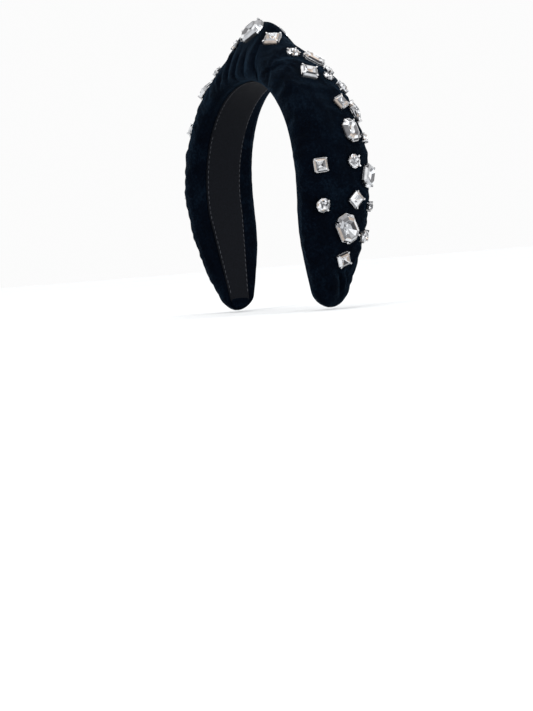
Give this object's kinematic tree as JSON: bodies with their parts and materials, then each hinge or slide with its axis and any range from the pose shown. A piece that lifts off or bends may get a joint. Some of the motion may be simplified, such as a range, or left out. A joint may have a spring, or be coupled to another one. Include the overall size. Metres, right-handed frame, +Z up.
{
  "type": "headband",
  "caption": "Padded velvet headband with a folded top knot and scattered clear stones in claw settings; its springy arms flex outwards.",
  "frame": {"origin": "centre of the crown's inner arc, on the middle of the band's width", "axes": "+Z up, the wearer faces -Y, +X is the wearer's left"},
  "size_m": [0.1776, 0.0498, 0.1849],
  "materials": {
    "velvet": "matte blue-black velvet pile",
    "foam": "matte foam",
    "core_plastic": "satin",
    "lining_ribbon": "ribbed ribbon",
    "thread": "matte",
    "crystal": "faceted, foil backed",
    "claw_metal": "polished"
  },
  "bodies": {
    "crown": {"core_crown": "core_plastic", "cover_crown_left": "velvet", "cover_crown_right": "velvet", "crystal_octagon_large_crown": "crystal", "crystal_octagon_medium_crown": "crystal", "crystal_pear_crown": "crystal", "crystal_round_large_crown": "crystal", "crystal_round_small_crown": "crystal", "crystal_square_large_crown": "crystal", "knot_pad": "foam", "knot_wrap": "velvet", "lining_crown": "lining_ribbon", "pad_crown_left": "foam", "pad_crown_right": "foam", "setting_octagon_crown": "claw_metal", "setting_pear_crown": "claw_metal", "setting_round_crown": "claw_metal", "setting_square_crown": "claw_metal", "thread_crown": "thread"},
    "left_arm": {"core_left": "core_plastic", "cover_left": "velvet", "crystal_octagon_large_left": "crystal", "crystal_octagon_medium_left": "crystal", "crystal_pear_left": "crystal", "crystal_round_large_left": "crystal", "crystal_round_small_left": "crystal", "crystal_square_small_left": "crystal", "hem_left": "velvet", "lining_left": "lining_ribbon", "pad_left": "foam", "setting_octagon_left": "claw_metal", "setting_pear_left": "claw_metal", "setting_round_left": "claw_metal", "setting_square_left": "claw_metal", "thread_left": "thread"},
    "right_arm": {"core_right": "core_plastic", "cover_right": "velvet", "crystal_octagon_large_right": "crystal", "crystal_octagon_medium_right": "crystal", "crystal_pear_right": "crystal", "crystal_round_large_right": "crystal", "crystal_round_small_right": "crystal", "crystal_square_large_right": "crystal", "crystal_square_small_right": "crystal", "hem_right": "velvet", "lining_right": "lining_ribbon", "pad_right": "foam", "setting_octagon_right": "claw_metal", "setting_pear_right": "claw_metal", "setting_round_right": "claw_metal", "setting_square_right": "claw_metal", "thread_right": "thread"}
  },
  "joints": [
    {"name": "left_arm_flex", "type": "hinge", "parent": "crown", "child": "left_arm", "pos_m": [0.05708, 0, 0.04289], "axis": [0, -1, 0], "range_deg": [0, 12], "stiffness_Nm_per_rad": 1.8},
    {"name": "right_arm_flex", "type": "hinge", "parent": "crown", "child": "right_arm", "pos_m": [-0.05708, 0, 0.04289], "axis": [0, 1, 0], "range_deg": [0, 12], "stiffness_Nm_per_rad": 1.8}
  ]
}
